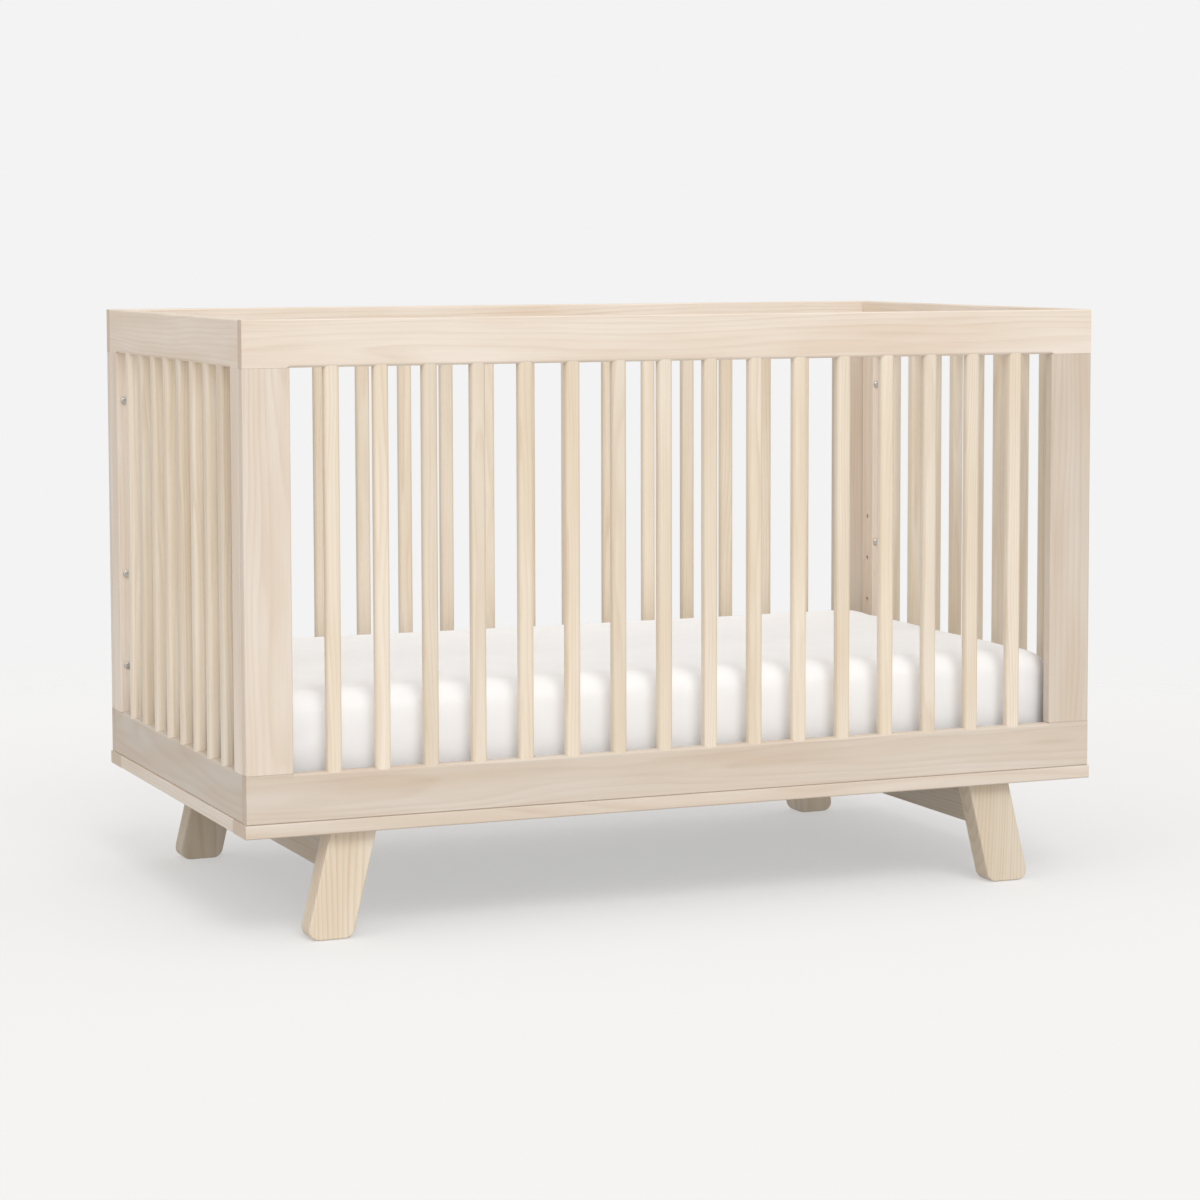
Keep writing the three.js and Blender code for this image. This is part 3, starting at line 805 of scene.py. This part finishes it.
support = {
    "steelEase": 0.5 * mm,
    "wireRadius": 1.9 * mm,
    "zigzagReach": 21 * mm,
    "zigzagPitch": 40 * mm,
    "arcSteps": 6,
    "hook": 8 * mm,  # how far a spring's ends reach under the rails
    "railInset": 12 * mm,
    "springRadius": 4.2 * mm,
    "springWire": 1.0 * mm,
    "springTurns": 7,
    "turnSteps": 10,
    "springLength": 26 * mm,
    "longPitch": 120 * mm,
    "longCount": 5,
    "crossPitch": 126 * mm,
    "crossCount": 9,
}


def refine(node, ease):
    # A copy of a pressed or rolled steel part with its facets merged and its edges just rounded
    piece = copyPiece(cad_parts[node], node + "_steel", Matrix.Identity(4))
    clearSelection()
    bpy.context.view_layer.objects.active = piece
    piece.select_set(True)
    bpy.ops.object.mode_set(mode="EDIT")
    bpy.ops.mesh.select_all(action="SELECT")
    bpy.ops.mesh.remove_doubles(threshold=1e-5)
    bpy.ops.mesh.dissolve_limited(angle_limit=math.radians(1))
    bpy.ops.object.mode_set(mode="OBJECT")
    applyModifier(piece, "BEVEL", {"width": ease, "segments": 2, "limit_method": "ANGLE",
                                   "angle_limit": math.radians(50)})
    smooth(piece, 45)
    return piece


def wireAlong(name, points, radius, sides=8):
    # Round wire along a list of points, as a mesh with closed ends
    curve = bpy.data.curves.new(name, "CURVE")
    curve.dimensions = "3D"
    curve.bevel_depth = radius
    curve.bevel_resolution = max(0, (sides - 4) // 2)
    curve.use_fill_caps = True
    spline = curve.splines.new("POLY")
    spline.points.add(len(points) - 1)
    for point, spot in zip(spline.points, points):
        point.co = (*spot, 1)
    piece = bpy.data.objects.new(name, curve)
    bpy.context.scene.collection.objects.link(piece)
    clearSelection()
    bpy.context.view_layer.objects.active = piece
    piece.select_set(True)
    bpy.ops.object.convert(target="MESH")
    piece = bpy.context.object
    mergePoints(piece, 0.001 * mm)
    bpy.ops.object.shade_smooth()
    return piece


def zigzagPoints(x, startY, endY, z):
    # A sinuous spring: straight runs across joined by half turns, from one side rail to the other
    runs = round((endY - startY) / (support["zigzagPitch"] / 2))
    pitch = (endY - startY) / runs
    reach = support["zigzagReach"] - pitch / 2
    steps = support["arcSteps"]
    points = [(x, startY - support["hook"], z), (x, startY, z)]
    for i in range(1, runs):
        side = 1 if i % 2 else -1
        y = startY + i * pitch
        for k in range(steps + 1):
            angle = -math.pi / 2 + math.pi * k / steps
            points.append((x + side * (reach + pitch / 2 * math.cos(angle)),
                           y + pitch / 2 * math.sin(angle), z))
    points += [(x, endY, z), (x, endY + support["hook"], z)]
    return points


def coilPoints(start, direction, z, y):
    # A helical tension spring that ties a long wire to the end rail
    points = []
    steps = support["springTurns"] * support["turnSteps"]
    for k in range(steps + 1):
        angle = 2 * math.pi * k / support["turnSteps"]
        along = start + direction * support["springLength"] * k / steps
        points.append((along, y + support["springRadius"] * math.cos(angle),
                       z + support["springRadius"] * math.sin(angle)))
    return points


def makeSupport():
    for side in ("front", "rear", "left", "right"):
        node = f"support_{side}_rail"
        piece = refine(node, support["steelEase"])
        finishPiece(piece, coatedSteel, "support_steel", "mattress_support", node)
    for row in ("front", "rear"):
        for side in ("left", "right"):
            node = f"hanger_{row}_{side}"
            piece = refine(node, support["steelEase"])
            finishPiece(piece, coatedSteel, "support_steel", "mattress_support", node)
    low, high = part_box("support_deck")
    top = high.z
    wire = support["wireRadius"]
    for i in range(support["crossCount"]):
        x = (i - (support["crossCount"] - 1) / 2) * support["crossPitch"]
        inset = support["railInset"]
        points = zigzagPoints(x, low.y + inset, high.y - inset, top - 3 * wire)
        piece = wireAlong(f"sinuous_spring_{i + 1}", points, wire)
        finishPiece(piece, springSteel, "support_steel", "mattress_support", "support_deck")
    for i in range(support["longCount"]):
        y = (i - (support["longCount"] - 1) / 2) * support["longPitch"]
        inset = support["springLength"]
        z = top - wire
        points = [(low.x + inset, y, z), (high.x - inset, y, z)]
        piece = wireAlong(f"long_wire_{i + 1}", points, wire)
        finishPiece(piece, springSteel, "support_steel", "mattress_support", "support_deck")
        for end, start, direction in (("left", low.x + inset, -1), ("right", high.x - inset, 1)):
            drop = z - support["springRadius"]
            coil = wireAlong(f"coil_{end}_{i + 1}", coilPoints(start, direction, drop, y),
                             support["springWire"], 6)
            finishPiece(coil, springSteel, "support_steel", "mattress_support", "support_deck")
    print("mattress support")


# Mattress

mattress = {
    "start": 4 * mm,  # the pad swells, so it starts this much inside its box
    "voxel": 11 * mm,
    "pressure": 4.0,
    "cap": 7 * mm,
    "cornerRadius": 34 * mm,
    "edgeRadius": 30 * mm,
    "footRadius": 12 * mm,
    "frames": 20,
    "quality": 3,
    "mass": 0.3,
    "tension": 20,
    "bending": 1.2,
    "smoothing": 3,
    "crown": 2 * mm,  # how far the top may rise above the pad's nominal thickness
    "quickInset": 0.5 * mm,
}
sheet = {
    "hemHeight": 16 * mm,  # the elastic edge, above the underside
    "pucker": 1.3 * mm,  # how deep the gathers over the elastic are
    "puckerPitch": 21 * mm,
    "gatherHeight": 30 * mm,
    "crease": 0.8 * mm,  # soft creases that pull towards the corner seams
    "creasePitch": 41.6 * mm,
    "creaseReach": 160 * mm,
    "seamDepth": 1.0 * mm,
    "seamReach": 6.4 * mm,
}


def padBlock(name, inset):
    # The pad as it is cut: a block with round corners and a firm top edge
    low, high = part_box("mattress")
    step = Vector((inset, inset, 0))
    piece = startCube(name, low + step, high - step - Vector((0, 0, inset / 2)))
    bevelEdges(piece, lambda edge: runsAlong(edge, 2), mattress["cornerRadius"], 10)
    bevelEdges(piece, lambda edge: all(v.co.z > high.z - inset for v in edge.verts)
               and edge.calc_face_angle(0) > 1, mattress["edgeRadius"], 8)
    bevelEdges(piece, lambda edge: all(v.co.z < low.z + 1e-5 for v in edge.verts)
               and edge.calc_face_angle(0) > 1, mattress["footRadius"], 4)
    return piece


def puffUp(piece):
    # The filling pushes the cloth out, most in the middle of each face
    applyModifier(piece, "REMESH", {"mode": "VOXEL", "voxel_size": mattress["voxel"]})
    start = [vertex.co.copy() for vertex in piece.data.vertices]
    cloth = piece.modifiers.new("cloth", "CLOTH")
    cloth.settings.use_pressure = True
    cloth.settings.uniform_pressure_force = mattress["pressure"]
    cloth.settings.effector_weights.gravity = 0
    cloth.settings.quality = mattress["quality"]
    cloth.settings.mass = mattress["mass"]
    cloth.settings.tension_stiffness = mattress["tension"]
    cloth.settings.bending_stiffness = mattress["bending"]
    cloth.point_cache.frame_start = 1
    cloth.point_cache.frame_end = mattress["frames"]
    for number in range(1, mattress["frames"] + 1):
        bpy.context.scene.frame_set(number)
    clearSelection()
    bpy.context.view_layer.objects.active = piece
    piece.select_set(True)
    bpy.ops.object.modifier_apply(modifier=cloth.name)
    bpy.context.scene.frame_set(1)
    for vertex, old in zip(piece.data.vertices, start):
        move = vertex.co - old
        if move.length > mattress["cap"]:
            vertex.co = old + move * (mattress["cap"] / move.length)
    applyModifier(piece, "SMOOTH", {"factor": 0.5, "iterations": mattress["smoothing"]})


def fallOff(distance, width):
    # 1 at no distance, falling smoothly to 0 at the width
    return 0.5 + 0.5 * math.cos(math.pi * min(1, abs(distance) / width))


def fromCorner(spot, half):
    # Distance round the outside from the middle line of the nearest corner
    radius = mattress["cornerRadius"]
    overX = abs(spot.x) - (half.x - radius)
    overY = abs(spot.y) - (half.y - radius)
    eighth = math.pi / 4 * radius
    if overX > 0 and overY > 0:
        return math.atan2(overY, overX) * radius - eighth
    return overY - eighth if overX > 0 else eighth - overX


def dressMattress(piece):
    # The sheet's own shape: a seam down each corner, creases that run towards it, and gathers over
    # the elastic near the underside. The underside itself lies flat on the springs
    low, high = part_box("mattress")
    middle = (low + high) / 2
    half = (high - low) / 2
    for vertex in piece.data.vertices:
        spot = vertex.co - middle
        out = vertex.normal.copy()
        rise = vertex.co.z - low.z
        onSide = 1 - min(1, abs(out.z) * 1.4)
        # The gathers are uneven, so their spacing drifts along each side
        run = spot.x if abs(out.y) > abs(out.x) else spot.y
        wave = math.sin(2 * math.pi * run / sheet["puckerPitch"] + 2.2 * math.sin(run * 31)
                        + 1.3 * math.sin(run * 13 + 1))
        depth = fallOff(rise - sheet["hemHeight"], sheet["gatherHeight"]) * (0.55 * wave - 0.45)
        depth *= sheet["pucker"]
        corner = fromCorner(spot, half)
        slant = (rise - 0.5 * abs(corner)) / sheet["creasePitch"] + 0.5 * math.sin(spot.x * 9 + spot.y * 7)
        depth += fallOff(corner, sheet["creaseReach"]) * sheet["crease"] * math.sin(2 * math.pi * slant)
        depth -= fallOff(corner, sheet["seamReach"]) * sheet["seamDepth"]
        vertex.co += out * depth * onSide
    roof = half.z + mattress["crown"]
    for vertex in piece.data.vertices:
        spot = vertex.co - middle
        spot.x = max(-half.x, min(half.x, spot.x))
        spot.y = max(-half.y, min(half.y, spot.y))
        spot.z = max(-half.z, min(roof, spot.z))
        vertex.co = middle + spot


def makeMattress():
    piece = padBlock("mattress_sheet", mattress["start"])
    puffUp(piece)
    dressMattress(piece)
    applyModifier(piece, "SUBSURF", {"levels": 1, "render_levels": 1})
    clearSelection()
    bpy.context.view_layer.objects.active = piece
    piece.select_set(True)
    bpy.ops.object.shade_smooth()
    finishPiece(piece, cotton, "cotton_sheet", "mattress", "mattress")
    print("mattress:", len(piece.data.vertices), "points")


makeCamera()
makeStudio()
boardPine = makePine("clear lacquered pine boards", pale="E6DBCE", warm="DCCAB6", late="C2A587",
                     ringStrength=0.31, ringSpacing=5.5 * mm)
slatPine = makePine("clear lacquered pine slats", pale="E5DAC9", warm="DBCBB4", late="C3A586",
                    ringStrength=0.38, ringSpacing=4.5 * mm)
legPine = makePine("clear lacquered pine legs", pale="E3D7C4", warm="D9C7AE", late="BFA07C",
                   ringStrength=0.52, ringSpacing=6.0 * mm)
# Zinc-plated steel, cold formed: a bright grey with a soft sheen
zincSteel = makeMetal("bright zinc plated steel", "C9C9C6", metallic=1.0, roughness=0.28,
                      grit=0.5 * mm, gritDepth=0.05, specular=0.5)
# Powder-coated steel, sprayed and baked: a satin grey skin with a fine orange peel
coatedSteel = makeMetal("grey powder coated steel", "B9BBBC", metallic=0.0, roughness=0.45,
                        grit=1.2 * mm, gritDepth=0.25, specular=0.5)
# Hard drawn spring wire, oiled: a darker bare steel
springSteel = makeMetal("drawn spring steel wire", "9A9B9A", metallic=1.0, roughness=0.34,
                        grit=0.6 * mm, gritDepth=0.08, specular=0.5)
cotton = makeCotton()
makePanels()
makeSlats()
makeBase()
makeLegs()
makeBolts()
makePins()
makeSupport()
makeMattress()

view = bpy.context.scene.view_settings
view.view_transform = "Standard"

bpy.context.view_layer.update()
